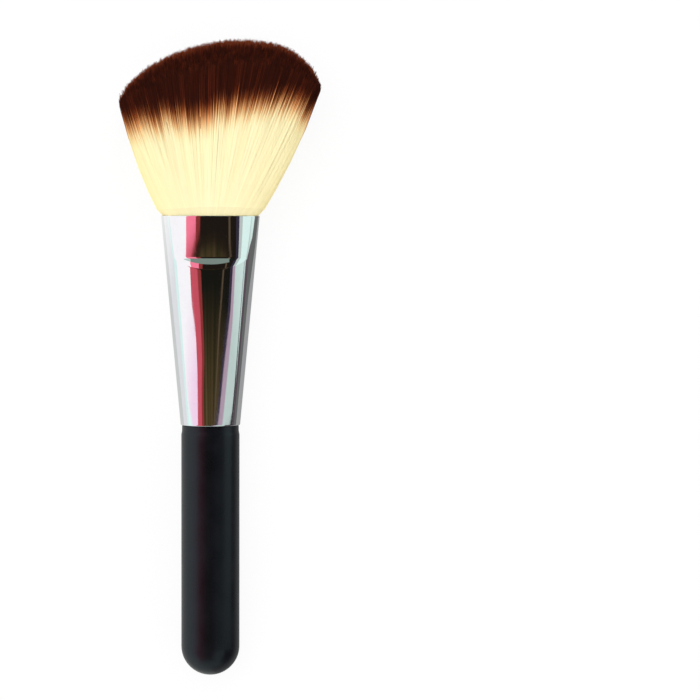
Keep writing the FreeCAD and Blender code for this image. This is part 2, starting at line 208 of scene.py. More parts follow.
class StudioSettings(bpy.types.PropertyGroup):
    camera_height: length("Camera height", "Height of the camera over the table", 0.76)
    lens: FloatProperty(
        name="Lens", description="Focal length of the camera", default=140.0, min=10.0, unit="CAMERA"
    )
    aim_across: length("Aim across", "Middle of the picture, right of the table's middle", 0.0357)
    aim_along: length("Aim along", "Middle of the picture, tipwards of the table's middle", 0.0022)
    lamp_power: power("Lamp power", "Power of the soft key lamp", 5.0)
    tip_lamp_power: power("Tip lamp power", "Power of the low soft lamp beyond the tips", 1.5)
    card_radius: length("Card distance", "Distance of the reflected cards from the brush", 2.0)


# Helpers


def settings(name):
    return getattr(bpy.context.scene, f"kabuki_{name}")


def brush_frame():
    """Origin and the three axes of the brush's upright frame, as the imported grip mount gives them."""
    mount = frame["record"]["mounts"][0]
    along = -Vector(mount["axis"]).normalized()
    origin = Vector(mount["pos_m"]) + along * GRIP_BELOW_SHOULDER
    across = Vector((1.0, 0.0, 0.0))
    return origin, across, along.cross(across), along


def lay_down(points):
    """Takes points of the upright frame to the table."""
    origin, across, deep, along = brush_frame()
    return np.asarray(points, float) @ np.array([across, deep, along]) + np.array(origin)


def mesh_object(name, points, faces, smooth=True):
    mesh = bpy.data.meshes.new(name)
    mesh.from_pydata([tuple(point) for point in points], [], faces)
    mesh.validate()
    mesh.update()
    if smooth:
        mesh.shade_smooth()
    piece = bpy.data.objects.new(name, mesh)
    bpy.context.scene.collection.objects.link(piece)
    return piece


def ring_faces(rings, count, closed_ends=True):
    """Quads between rings of points, with a fan over each end's pole or else from the last to the first."""
    faces = []
    for ring in range(rings - 1 if closed_ends else rings):
        low, high = ring * count, (ring + 1) % rings * count
        for index in range(count):
            after = (index + 1) % count
            faces.append((low + index, low + after, high + after, high + index))
    if closed_ends:
        first, last = rings * count, rings * count + 1
        top = (rings - 1) * count
        for index in range(count):
            after = (index + 1) % count
            faces.append((first, after, index))
            faces.append((last, top + index, top + after))
    return faces


class Nodes:
    """Short calls that add and join the nodes of an empty tree."""

    def __init__(self, tree):
        self.tree = tree
        tree.nodes.clear()

    def add(self, kind, inputs=None, **options):
        node = self.tree.nodes.new(kind)
        for key, value in options.items():
            setattr(node, key, value)
        for key, value in (inputs or {}).items():
            if isinstance(value, bpy.types.NodeSocket):
                self.tree.links.new(value, node.inputs[key])
            else:
                node.inputs[key].default_value = value
        return node

    def math(self, operation, first, second=0.0, third=0.0):
        return self.add("ShaderNodeMath", {0: first, 1: second, 2: third}, operation=operation).outputs[0]


class Finish(Nodes):
    """A material and the patterns that its nodes are made of."""

    def __init__(self, name):
        self.material = bpy.data.materials.new(name)
        self.material.use_nodes = True
        super().__init__(self.material.node_tree)

    def stretched(self, scale=(1, 1, 1)):
        """Object coordinates scaled along each axis."""
        place = self.add("ShaderNodeTexCoord").outputs["Object"]
        return self.add("ShaderNodeMapping", {"Vector": place, "Scale": scale}).outputs[0]

    def noise(self, vector, scale, detail=3.0, roughness=0.5):
        inputs = {"Vector": vector, "Scale": scale, "Detail": detail, "Roughness": roughness}
        return self.add("ShaderNodeTexNoise", inputs).outputs["Fac"]

    def spread(self, value, low, high, start, end):
        inputs = {"Value": value, "From Min": low, "From Max": high, "To Min": start, "To Max": end}
        return self.add("ShaderNodeMapRange", inputs).outputs["Result"]

    def ramp(self, value, stops):
        node = self.add("ShaderNodeValToRGB", {"Fac": value})
        band = node.color_ramp
        while len(band.elements) < len(stops):
            band.elements.new(0.5)
        for element, (place, shade) in zip(band.elements, stops):
            element.position = place
            element.color = shade
        return node.outputs["Color"]

    def mix(self, factor, first, second, blend="MIX"):
        inputs = {0: factor, 6: first, 7: second}
        node = self.add("ShaderNodeMix", inputs, data_type="RGBA", blend_type=blend, clamp_factor=True)
        return node.outputs[2]

    def bump(self, height, strength, distance):
        inputs = {"Height": height, "Strength": strength, "Distance": distance}
        return self.add("ShaderNodeBump", inputs).outputs["Normal"]

    def show(self, shader):
        """Joins the last shader to the material's output."""
        self.add("ShaderNodeOutputMaterial", {"Surface": shader.outputs[0]})
        return self.material

    def surface(self, base, roughness, others=None):
        inputs = {"Base Color": base, "Roughness": roughness, **(others or {})}
        return self.show(self.add("ShaderNodeBsdfPrincipled", inputs))


# Materials


def toned(shade, factor):
    """A lighter or darker tone of a colour."""
    return tuple(min(1.0, part * factor) for part in shade[:3]) + (1.0,)


def lacquer_finish():
    finish = Finish("satin_black_lacquer")
    black = settings("colours").lacquer
    cloud = finish.noise(finish.stretched(), 160.0, 4.0)
    grain = finish.noise(finish.stretched((2400, 60, 2400)), 1.0, 3.0)
    peel = finish.noise(finish.stretched(), 900.0, 2.0)
    base = finish.mix(finish.spread(cloud, 0.35, 0.7, 0.0, 1.0), tuple(black), toned(black, 1.7))
    height = finish.math("MULTIPLY_ADD", grain, 0.5, peel)
    others = {
        "Specular IOR Level": 0.38,
        "Specular Tint": (0.78, 0.92, 1.0, 1.0),
        "Normal": finish.bump(height, 0.12, 0.00006),
    }
    return finish.surface(base, finish.spread(cloud, 0.3, 0.7, 0.27, 0.34), others)


def plate_finish():
    finish = Finish("bright_plated_sheet")
    plate = settings("colours").plate
    drawn = finish.noise(finish.stretched((1500, 14, 1500)), 1.0, 3.0)
    soft = finish.noise(finish.stretched(), 70.0, 1.0)
    wear = finish.noise(finish.stretched(), 420.0, 5.0, 0.65)
    base = finish.mix(finish.spread(wear, 0.45, 0.75, 0.0, 1.0), tuple(plate), toned(plate, 0.97))
    height = finish.math("MULTIPLY_ADD", drawn, 0.12, soft)
    others = {"Metallic": 1.0, "Normal": finish.bump(height, 0.12, 0.00006)}
    return finish.surface(base, finish.spread(wear, 0.4, 0.8, 0.035, 0.06), others)


def dyed_shade(finish, past_edge, from_tip, tint, streak):
    """Colour of a fibre from how far it is past the edge of its dye and from its tip, in metres, with a
    painted rim light on the ends along the crest.
    """
    shades = settings("colours")
    edge = finish.math("MULTIPLY_ADD", finish.math("SUBTRACT", streak, 0.5), DYE_STREAK, past_edge)
    fading = (shades.cream, shades.peach, shades.tan, shades.rust, shades.brown)
    stops = [(index / 4, tuple(shade)) for index, shade in enumerate(fading)]
    dye = finish.ramp(finish.spread(edge, *DYE_FADE, 0.0, 1.0), stops)
    # The ends of the fibres along the crest have the highest tints and take the lighter tip colour: a painted
    # rim light
    painted_rim_light = finish.spread(from_tip, 0.0, PAINTED_RIM_LENGTH, 1.0, 0.0)
    painted_rim_light = finish.math("MULTIPLY", painted_rim_light, finish.spread(tint, 0.68, 0.9, 0.1, 1.0))
    dyed = finish.spread(edge, 0.0015, 0.004, 0.0, 0.9)
    dye_and_rim_light = finish.mix(finish.math("MULTIPLY", painted_rim_light, dyed), dye, tuple(shades.tip))
    # Undyed fibres are nearly alike. Of the dyed ones a few at random are much lighter than the rest,
    # and those along the crest, with the highest tints, are all lighter: a painted rim light
    lighter = finish.math("MULTIPLY_ADD", finish.math("POWER", tint, 4.0), 6.0, -0.55)
    lighter = finish.math("MINIMUM", lighter, 1.1)
    bright = finish.math("MULTIPLY_ADD", lighter, finish.spread(edge, -0.004, 0.002, 0.08, 1.0), 1.0)
    grey = finish.add("ShaderNodeCombineColor", {0: bright, 1: bright, 2: bright}).outputs[0]
    return finish.mix(1.0, dye_and_rim_light, grey, "MULTIPLY")


def fibre_finish():
    """Fibre whose colour hangs only on its map: dyed length and tint across, distance from the tip down."""
    finish = Finish("dyed_fibre")
    place = finish.add("ShaderNodeUVMap", uv_map="OFBake")
    split = finish.add("ShaderNodeSeparateXYZ", {0: place.outputs[0]})
    steps = finish.math("MULTIPLY", split.outputs[0], float(DYE_STEPS))
    tint = finish.math("FRACT", steps)
    dyed_length = finish.math("MULTIPLY_ADD", finish.math("FLOOR", steps), DYE_STEP, DYE_STEP)
    from_tip = finish.spread(split.outputs[1], 0.0, 1.0, MAP_LENGTH, 0.0)
    past_edge = finish.math("SUBTRACT", dyed_length, from_tip)
    along = finish.add("ShaderNodeCombineXYZ", {0: steps, 1: split.outputs[1]})
    stretched = finish.add("ShaderNodeMapping", {"Vector": along.outputs[0], "Scale": (9.0, 14.0, 1.0)})
    streak = finish.noise(stretched.outputs[0], 1.0, 2.0)
    shade = dyed_shade(finish, past_edge, from_tip, tint, streak)
    return finish.surface(shade, 0.6, {"Specular IOR Level": 0.08})


def packed_finish():
    """The packed fibres under the outer ones, streaked along their length."""
    finish = Finish("packed_fibre")
    past_edge = finish.add("ShaderNodeAttribute", attribute_name="past_edge").outputs["Fac"]
    from_tip = finish.add("ShaderNodeAttribute", attribute_name="from_tip").outputs["Fac"]
    strands = finish.noise(finish.stretched((2600, 40, 2600)), 1.0, 4.0, 0.6)
    locks = finish.noise(finish.stretched((420, 12, 420)), 1.0, 2.0)
    shade = dyed_shade(finish, past_edge, from_tip, strands, locks)
    others = {"Specular IOR Level": 0.08, "Normal": finish.bump(strands, 0.3, 0.0002)}
    return finish.surface(shade, 0.65, others)


def yarn_finish():
    finish = Finish("binding_thread")
    yarn = settings("colours").yarn
    inputs = {"Vector": finish.stretched(), "Scale": 900.0, "Distortion": 1.5, "Detail": 2.0}
    twist = finish.add("ShaderNodeTexWave", inputs, bands_direction="DIAGONAL").outputs["Fac"]
    base = finish.mix(twist, toned(yarn, 0.6), tuple(yarn))
    return finish.surface(base, 0.8, {"Normal": finish.bump(twist, 0.6, 0.0001)})


def resin_finish():
    finish = Finish("setting_resin")
    resin = settings("colours").resin
    cloud = finish.noise(finish.stretched(), 380.0, 3.0)
    base = finish.mix(cloud, toned(resin, 0.55), tuple(resin))
    return finish.surface(base, finish.spread(cloud, 0.3, 0.7, 0.12, 0.3), {"Coat Weight": 0.3})


# Shapes shared by the ferrule and the fibres


def smooth_min(first, second, blend):
    near = np.maximum(blend - np.abs(first - second), 0.0) / blend
    return np.minimum(first, second) - near * near * blend / 4


def oval(sizes, height, inset):
    share = height / sizes.tube
    wide = sizes.foot_radius + (sizes.mouth_half_width - sizes.foot_radius) * share - inset
    deep = sizes.foot_radius + (sizes.mouth_half_depth - sizes.foot_radius) * share - inset
    return wide, deep


def pressed_depth(sizes, across, height, inset):
    """Half depth that the bowed die leaves at this distance across, ledge included."""
    above = height - sizes.tube + sizes.press_height
    rise = -smooth_min(np.array(0.0), np.array(above), LEDGE_BLEND) * sizes.ledge_slope
    opened = sizes.press_opening * max(0.0, above) / sizes.press_height
    bow = sizes.press_bow + rise
    return sizes.press_half_depth + opened - sizes.press_bow + np.sqrt(bow * bow - across * across) - inset


def ferrule_ring(sizes, height, inset, columns):
    """One ring of the ferrule's wall, pressed front and back alike."""
    turn = np.linspace(0, 2 * math.pi, columns, endpoint=False)
    wide, deep = oval(sizes, height, inset)
    across = wide * np.cos(turn)
    round_depth = deep * np.abs(np.sin(turn))
    # The sheet bends tightly over the crest and more softly at the sides of the pressed face
    above = min(1.0, max(0.0, (height - sizes.tube + sizes.press_height) / sizes.press_height))
    blend = sizes.crest_blend + (sizes.side_blend - sizes.crest_blend) * above
    depth = smooth_min(round_depth, pressed_depth(sizes, across, height, inset), blend)
    # At the two sides the die never reaches the oval
    depth = np.where(round_depth < sizes.press_half_depth / 3, round_depth, depth)
    return np.column_stack([across, depth * np.sign(np.sin(turn)), np.full(columns, height)])


def crown_outline(share):
    """Across and up of the crown's outline, share running from -1 at the left tip to 1 at the right."""
    fan = settings("fan")
    share = np.asarray(share, float)

    def quarter(side, powers, reach, height):
        turn = math.pi / 2 * side * (share - APEX_SHARE) / (1 - side * APEX_SHARE)
        turn = np.clip(turn, 0, math.pi / 2)
        run = side * (reach - side * fan.apex_offset)
        up = height + (fan.apex_height - height) * np.cos(turn) ** (2 / powers[1])
        return fan.apex_offset + run * np.sin(turn) ** (2 / powers[0]), up

    left = quarter(-1, LEFT_POWERS, fan.left_reach, fan.left_height)
    right = quarter(1, RIGHT_POWERS, fan.right_reach, fan.right_height)
    return np.where(share < APEX_SHARE, left, right)


def half_chord(discs):
    """Half the depth of the unit disc at these places across it."""
    return np.sqrt(np.maximum(1e-6, 1 - discs[:, 0] ** 2))


def mouth_point(discs):
    """Where fibres with these places in the unit disc leave the ferrule's mouth."""
    sizes, fan = settings("ferrule"), settings("fan")
    inset = sizes.gauge + fan.clearance
    wide, deep = oval(sizes, sizes.tube, inset)
    across, chord = wide * discs[:, 0], half_chord(discs)
    half = np.minimum(deep * chord, pressed_depth(sizes, across, sizes.tube, inset))
    return np.column_stack([across, half * discs[:, 1] / chord, np.full(len(discs), sizes.tube)])


def crown_lean(discs):
    """How far places are from the crest of the crown, from -1 at its front to 1 at its back."""
    return np.clip(discs[:, 1] / half_chord(discs), -1, 1)


def crown_drop(discs):
    """How much lower than the crest the crown is at these places, and at its edge beside them."""
    outer_drop, lean = settings("fan").crown_drop * half_chord(discs), crown_lean(discs)
    return outer_drop * (1 - np.sqrt(1 - lean * lean)), outer_drop


def tip_point(discs):
    sizes, fan = settings("ferrule"), settings("fan")
    across, up = crown_outline(discs[:, 0])
    drop = crown_drop(discs)[0]
    return np.column_stack([across, fan.half_depth * discs[:, 1], sizes.tube + up - drop])


def dyed_length(discs):
    """Length of dyed fibre: the dye reaches one level from the pressed side through to the back."""
    drop, outer_drop = crown_drop(discs)
    return np.interp(discs[:, 0], DYE_SHARES, DYE_LENGTHS) + outer_drop - drop


def fan_points(discs, share, swelled=True):
    """Points at this share of the way from the mouth to the tips."""
    fan = settings("fan")
    start, tip = mouth_point(discs), tip_point(discs)
    outwards = np.column_stack([discs, np.zeros(len(discs))])
    points = start + (tip - start) * share + outwards * fan.bow * 4 * share * (1 - share)
    if swelled:
        points += outwards * fan.swell * (1 - math.exp(-max(0.0, share) / SWELL_SHARE)) * (1 - share)
    return points


def above_table(points, lift):
    """Flattens what would sink below the table."""
    points[:, 2] = np.maximum(points[:, 2], lift)
    return points


# Fibres


def disc_samples(count, chance, ring, side=None):
    """Places in a ring of the unit disc, spread evenly over the crown or over a side as it lies in space."""
    inner, outer = ring
    shares = np.linspace(-1, 1, 1200)
    across, up = crown_outline(shares)
    step = np.hypot(np.diff(across), np.diff(up))
    middle = (shares[1:] + shares[:-1]) / 2
    if side is None:
        weight = step * np.sqrt(1 - middle**2)
    else:
        weight = np.hypot(step, settings("fan").half_depth * np.abs(np.diff(np.sqrt(1 - shares**2))))
    total = np.concatenate([[0], np.cumsum(weight)])
    column = np.interp(chance.random(count) * total[-1], total, shares)
    chord = np.sqrt(1 - column**2)
    if side is None:
        row = chord * chance.uniform(-1, 1, count)
        reach = np.hypot(column, row)
        shrink = np.where(reach > outer, outer / np.maximum(reach, 1e-6), 1.0)
        return np.column_stack([column * shrink, row * shrink])
    reach = inner + (outer - inner) * np.sqrt(chance.random(count))
    return np.column_stack([column, chord * side]) * reach[:, None]


def bristle_tree():
    """Geometry Nodes: one tapered three-sided fibre from root to tip on each point, the tips in locks."""
    tree = bpy.data.node_groups.new("planted_bristles", "GeometryNodeTree")
    for name, kind, default in (
        ("Roots", "Geometry", None),
        ("Fibre Radius", "Float", 0.0001),
        ("Taper", "Float", 0.7),
        ("Flatness", "Float", 1.0),
        ("Segments", "Int", 4),
        ("Root Bias", "Float", 1.0),
        ("Tip Scatter", "Float", 0.0005),
        ("Unevenness", "Float", 0.001),
        ("Lock Size", "Float", 0.001),
        ("Lock Pull", "Float", 0.4),
        ("Dye Spread", "Float", 0.0015),
        ("Across", "Vector", (1.0, 0.0, 0.0)),
        ("Outwards", "Vector", (0.0, 0.0, 1.0)),
        ("Seed", "Int", 0),
        ("Fibre", "Material", None),
    ):
        made = tree.interface.new_socket(name, in_out="INPUT", socket_type="NodeSocket" + kind)
        if default is not None:
            made.default_value = default
    tree.interface.new_socket("Bristles", in_out="OUTPUT", socket_type="NodeSocketGeometry")
    nodes = Nodes(tree)
    add, calc = nodes.add, nodes.math

    def scaled(vector, factor):
        return add("ShaderNodeVectorMath", {0: vector, "Scale": factor}, operation="SCALE").outputs[0]

    def added(first, second):
        return add("ShaderNodeVectorMath", {0: first, 1: second}, operation="ADD").outputs[0]

    def less(first, second):
        return add("ShaderNodeVectorMath", {0: first, 1: second}, operation="SUBTRACT").outputs[0]

    def long(vector):
        return add("ShaderNodeVectorMath", {0: vector}, operation="LENGTH").outputs["Value"]

    def stored(name, kind="FLOAT_VECTOR"):
        node = add("GeometryNodeInputNamedAttribute", {"Name": name}, data_type=kind)
        return node.outputs["Attribute"]

    def chance(low, high, offset, kind="FLOAT"):
        """A random value for each fibre. Each kind has its own numbers for the node's sockets."""
        least, most, out = {"FLOAT_VECTOR": (0, 1, 0), "FLOAT": (2, 3, 1)}[kind]
        inputs = {least: low, most: high, "Seed": calc("ADD", given["Seed"], float(offset))}
        return add("FunctionNodeRandomValue", inputs, data_type=kind).outputs[out]

    def store(geometry, name, value, kind="FLOAT", domain="POINT"):
        inputs = {"Geometry": geometry, "Name": name, "Value": value}
        node = add("GeometryNodeStoreNamedAttribute", inputs, data_type=kind, domain=domain)
        return node.outputs["Geometry"]

    given = add("NodeGroupInput").outputs
    # The lock that each tip belongs to: its middle and its chances
    root, tip = stored("root"), stored("tip")
    lock = add("ShaderNodeTexVoronoi", {"Vector": tip, "Scale": calc("DIVIDE", 1.0, given["Lock Size"])})
    lock_chance = add("ShaderNodeSeparateXYZ", {0: lock.outputs["Color"]}).outputs
    gathered = added(tip, scaled(less(lock.outputs["Position"], tip), given["Lock Pull"]))

    # Each fibre's own chances: a strayed, shortened tip, a dyed length and a tint
    reach = less(gathered, root)
    cut = calc("MULTIPLY", chance(0.0, 1.0, 1), chance(0.0, 1.0, 2))
    cut = calc("MULTIPLY_ADD", lock_chance[2], 0.6, cut)
    cut = calc("DIVIDE", calc("MULTIPLY", cut, given["Unevenness"]), long(reach))
    stray = scaled(chance((-1, -1, -1), (1, 1, 1), 3, "FLOAT_VECTOR"), given["Tip Scatter"])
    new_tip = added(added(root, scaled(reach, calc("SUBTRACT", 1.0, cut))), stray)
    swing = calc("ADD", chance(-1.0, 1.0, 4), chance(-1.0, 1.0, 5))
    swing = calc("MULTIPLY_ADD", calc("SUBTRACT", lock_chance[1], 0.5), 1.5, swing)
    new_dye = calc("MULTIPLY_ADD", swing, given["Dye Spread"], stored("dye", "FLOAT"))
    new_dye = calc("MINIMUM", calc("MAXIMUM", new_dye, 0.0), DYE_STEP * DYE_STEPS - DYE_STEP / 2)
    # Tints run from 0 to 0.75, but at the crest from 0.75 to 1, which gives the crest's fibres a painted rim
    # light
    crest = stored("crest", "FLOAT")
    any_tint = calc("ADD", calc("MULTIPLY", lock_chance[0], 0.5), chance(0.0, 0.5, 6))
    width = calc("MULTIPLY_ADD", crest, -0.5, 0.75)
    tone_and_rim_light = calc("MULTIPLY_ADD", any_tint, width, calc("MULTIPLY", crest, 0.75))
    points = store(given["Roots"], "own_tip", new_tip, "FLOAT_VECTOR")
    points = store(points, "own_dye", new_dye)
    points = store(points, "own_tone_and_rim_light", tone_and_rim_light)

    # The strand to plant: three sides, one unit long
    strand = add(
        "GeometryNodeMeshCone",
        {
            "Vertices": 3, "Side Segments": given["Segments"],
            "Radius Top": 1.0, "Radius Bottom": 1.0, "Depth": 1.0,
        },
        fill_type="NGON",
    ).outputs["Mesh"]
    local = add("GeometryNodeInputPosition").outputs[0]
    strand = store(strand, "section", local, "FLOAT_VECTOR")
    planted = add("GeometryNodeInstanceOnPoints", {"Points": points, "Instance": strand}).outputs["Instances"]
    grown = add("GeometryNodeRealizeInstances", {"Geometry": planted}).outputs["Geometry"]

    # Stretch every strand from its root to its tip, bowed and tapered
    section = add("ShaderNodeSeparateXYZ", {0: stored("section")}).outputs
    along = calc("MINIMUM", calc("MAXIMUM", section[2], 0.0), 1.0)
    along = calc("POWER", along, given["Root Bias"])
    left = calc("SUBTRACT", 1.0, along)
    own_root = stored("root")
    own_reach = less(stored("own_tip"), own_root)
    spine = added(own_root, scaled(own_reach, along))
    arch = calc("MULTIPLY", calc("MULTIPLY", along, left), 4.0)
    spine = added(spine, scaled(stored("bulge"), arch))
    fading = calc("EXPONENT", calc("DIVIDE", along, -SWELL_SHARE))
    swelled = calc("MULTIPLY", calc("SUBTRACT", 1.0, fading), left)
    spine = added(spine, scaled(stored("swell"), swelled))
    thin = calc("MULTIPLY", calc("POWER", along, 3.0), given["Taper"])
    thick = calc("MULTIPLY", given["Fibre Radius"], calc("SUBTRACT", 1.0, thin))
    place = add("ShaderNodeSeparateXYZ", {0: spine}).outputs
    lifted = calc("MAXIMUM", place[2], calc("MULTIPLY", thick, 1.2))
    spine = add("ShaderNodeCombineXYZ", {0: place[0], 1: place[1], 2: lifted}).outputs[0]
    # One flat side faces outwards, the edge between the other two inwards
    sideways = calc("MULTIPLY", section[1], thick)
    inwards = calc("MULTIPLY", calc("MULTIPLY", section[0], thick), given["Flatness"])
    girth = less(scaled(given["Across"], sideways), scaled(given["Outwards"], inwards))
    moved = add("GeometryNodeSetPosition", {"Geometry": grown, "Position": added(spine, girth)})

    # The bake's map: dyed length in steps and the tint across, distance from the tip down
    from_tip = calc("MULTIPLY", long(own_reach), left)
    steps = calc("DIVIDE", stored("own_dye", "FLOAT"), DYE_STEP)
    step = calc("FLOOR", steps)
    rest = calc("SUBTRACT", 1.0, calc("SUBTRACT", steps, step))
    # A tint stays clear of the edges of its step, and a fibre's sides lie a little apart
    lean = calc("MULTIPLY_ADD", section[1], 0.6, calc("MULTIPLY", section[0], 0.8))
    inside = calc("MULTIPLY_ADD", stored("own_tone_and_rim_light", "FLOAT"), 0.88, 0.06)
    inside = calc("MULTIPLY_ADD", lean, 0.03, inside)
    column = calc("DIVIDE", calc("ADD", step, inside), float(DYE_STEPS))
    shifted = calc("MULTIPLY_ADD", rest, DYE_STEP, from_tip)
    row = calc("SUBTRACT", 1.0, calc("DIVIDE", shifted, MAP_LENGTH))
    chart = add("ShaderNodeCombineXYZ", {0: column, 1: row}).outputs[0]
    mapped = store(moved.outputs["Geometry"], "OFBake", chart, "FLOAT2", "CORNER")
    helpers = ("root", "tip", "bulge", "swell", "dye", "crest", "own_tip", "own_dye", "own_tone_and_rim_light", "section")
    for name in helpers:
        mapped = add("GeometryNodeRemoveAttribute", {"Geometry": mapped, "Name": name}).outputs["Geometry"]
    painted = add("GeometryNodeSetMaterial", {"Geometry": mapped, "Material": given["Fibre"]})
    add("NodeGroupOutput", {"Bristles": painted.outputs["Geometry"]})
    return tree


def plant(name, tree, discs, start_share, options, material):
    """Plants one piece of bristles and returns it as a plain mesh."""
    across, deep = brush_frame()[1:3]
    roots = above_table(lay_down(fan_points(discs, start_share)), FIBRE_LIFT)
    tips = above_table(lay_down(tip_point(discs)), FIBRE_LIFT)
    bulge = lay_down(fan_points(discs, (start_share + 1) / 2, swelled=False)) - (roots + tips) / 2
    outwards = discs @ np.array([across, deep])
    seat = mesh_object(name + "_seat", roots, [], smooth=False)
    for label, values in (
        ("root", roots),
        ("tip", tips),
        ("bulge", bulge),
        ("swell", outwards * settings("fan").swell * (start_share <= 0)),
        ("dye", dyed_length(discs)),
        # Nearness to the crest, which sets where the ends get the painted rim light
        ("crest", np.interp(np.abs(crown_lean(discs)), PAINTED_RIM_LEAN, (1, 0))),
    ):
        kind, field = ("FLOAT_VECTOR", "vector") if values.ndim == 2 else ("FLOAT", "value")
        seat.data.attributes.new(label, kind, "POINT").data.foreach_set(field, np.ravel(values))
    modifier = seat.modifiers.new("Bristles", "NODES")
    modifier.node_group = tree
    named = {item.name: item.identifier for item in tree.interface.items_tree if item.in_out == "INPUT"}
    for label, value in options.items():
        modifier[named[label]] = value
    modifier[named["Fibre"]] = material
    view = bpy.context.evaluated_depsgraph_get()
    mesh = bpy.data.meshes.new_from_object(seat.evaluated_get(view))
    bpy.data.objects.remove(seat)
    mesh.name = name
    piece = bpy.data.objects.new(name, mesh)
    bpy.context.scene.collection.objects.link(piece)
    if not mesh.polygons:
        raise RuntimeError(f"{name}: nothing was planted")
    return piece


# Operators, one for each piece or group of like pieces


class KABUKI_OT_turn_handle(bpy.types.Operator):
    """Turn the lacquered handle with its round butt and its tenon"""

    bl_idname = "kabuki.turn_handle"
    bl_label = "Turn Handle"

    def execute(self, context):
        sizes = settings("handle")
        count = 96
        centre = sizes.radius - sizes.stick
        profile = [
            (sizes.radius * math.sin(turn), centre - sizes.radius * math.cos(turn))
            for turn in np.linspace(0, math.pi / 2, 25)[1:]
        ]
        soft = sizes.shoulder_round
        neck = sizes.radius - sizes.collar_step
        # A soft step to the collar, from 1.3 down to 0.7 of its length below the shoulder
        step_start, step_run = -1.3 * sizes.collar, 0.6 * sizes.collar
        profile += [(sizes.radius, height) for height in np.linspace(centre, step_start, 28)[1:]]
        for share in np.linspace(0, 1, 7)[1:]:
            eased = (3 - 2 * share) * share * share
            profile.append((sizes.radius - sizes.collar_step * eased, step_start + step_run * share))
        profile += [
            (neck - soft * (1 - math.cos(turn)), -soft + soft * math.sin(turn))
            for turn in np.linspace(0, math.pi / 2, 6)
        ]
        profile += [(sizes.tenon_radius, 0.0), (sizes.tenon_radius, 0.0002)]
        profile += [(sizes.tenon_radius, sizes.tenon - sizes.tenon_bevel)]
        profile += [(sizes.tenon_radius - sizes.tenon_bevel, sizes.tenon)]
        turn = np.linspace(0, 2 * math.pi, count, endpoint=False)
        rings = [
            np.column_stack([radius * np.cos(turn), radius * np.sin(turn), np.full(count, height)])
            for radius, height in profile
        ]
        ends = [[0.0, 0.0, -sizes.stick], [0.0, 0.0, sizes.tenon]]
        points = lay_down(np.vstack(rings + [ends]))
        piece = mesh_object("handle_turned", points, ring_faces(len(profile), count))
        piece.data.materials.append(lacquer_finish())
        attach(piece, "root")
        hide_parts("handle")
        return {"FINISHED"}


class KABUKI_OT_press_ferrule(bpy.types.Operator):
    """Draw the thin ferrule and press its two faces below the mouth"""

    bl_idname = "kabuki.press_ferrule"
    bl_label = "Press Ferrule"

    def execute(self, context):
        sizes = settings("ferrule")
        count = 256
        press = sizes.tube - sizes.press_height
        soft = sizes.edge_round
        # The rings stand close together from below the ledge to a little past its crest
        ledge_foot, ledge_top, gap = press - 0.005, press + 0.0012, 0.0002
        plain = np.linspace(soft * 2, ledge_foot - gap, 15)
        ledge = np.linspace(ledge_foot, ledge_top, 52)
        face = np.linspace(ledge_top + gap, sizes.tube - soft * 2, 14)
        heights = np.concatenate([plain, ledge, face])
        rounds = [(0.0, soft), (soft * 0.3, soft * 0.3), (soft, 0.0)]
        wall = list(rounds)
        wall += [(height, 0.0) for height in heights]
        wall += [(sizes.tube - rise, inset) for rise, inset in reversed(rounds)]
        inner = [(sizes.tube - rise, sizes.gauge - inset) for rise, inset in rounds]
        inner += [(height, sizes.gauge) for height in heights[::-3]]
        inner += [(rise, sizes.gauge - inset) for rise, inset in reversed(rounds)]
        rings = [ferrule_ring(sizes, height, inset, count) for height, inset in wall + inner]
        points = lay_down(np.vstack(rings))
        piece = mesh_object("ferrule_pressed", points, ring_faces(len(rings), count, closed_ends=False))
        piece.data.materials.append(plate_finish())
        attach(piece, "root")
        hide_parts("ferrule")
        return {"FINISHED"}


class KABUKI_OT_pack_fibres(bpy.types.Operator):
    """Pack the body of fibres that the outer bristles cover"""

    bl_idname = "kabuki.pack_fibres"
    bl_label = "Pack Fibres"

    def execute(self, context):
        sizes = settings("ferrule")
        count = 160
        turn = np.linspace(0, 2 * math.pi, count, endpoint=False)
        rim = np.column_stack([np.cos(turn), np.sin(turn)]) * CORE_REACH
        rings, past_edge, from_tip = [], [], []

        def add_ring(points, discs, share, sink=0.0):
            tips, start = tip_point(discs), mouth_point(discs)
            whole = np.linalg.norm(tips - start, axis=1)
            left = whole * (1 - share) + sink
            rings.append(points)
            past_edge.append(dyed_length(discs) - left)
            from_tip.append(left)

        # Below the mouth the core narrows a little towards its end inside the ferrule
        low = rim * 0.95
        root = mouth_point(low)
        root[:, :2] *= 0.85
        root[:, 2] = sizes.tube - sizes.press_height
        add_ring(root, low, -0.2)
        for share in np.linspace(0.0, CORE_SIDE_END, 26):
            add_ring(fan_points(rim, share), rim, share)
        for ring in np.linspace(0.97, 0.0, 22)[:-1]:
            discs = rim * ring
            points = fan_points(discs, 1.0)
            lean = points - mouth_point(discs)
            lean /= np.linalg.norm(lean, axis=1)[:, None]
            add_ring(points - lean * CORE_SINK, discs, 1.0, CORE_SINK)
        centre = np.zeros((1, 2))
        top = tip_point(centre) - [[0.0, 0.0, CORE_SINK]]
        bottom = np.array([[0.0, 0.0, sizes.tube - sizes.press_height]])
        points = above_table(lay_down(np.vstack(rings + [bottom, top])), CORE_LIFT)
        piece = mesh_object("bristle_core", points, ring_faces(len(rings), count))
        for label, rows in (("past_edge", past_edge), ("from_tip", from_tip)):
            layer = piece.data.attributes.new(label, "FLOAT", "POINT")
            values = np.concatenate(rows + [[rows[0].mean()], [rows[-1].mean()]])
            layer.data.foreach_set("value", values)
        piece.data.materials.append(packed_finish())
        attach(piece, "root")
        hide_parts("bristle_tuft")
        return {"FINISHED"}


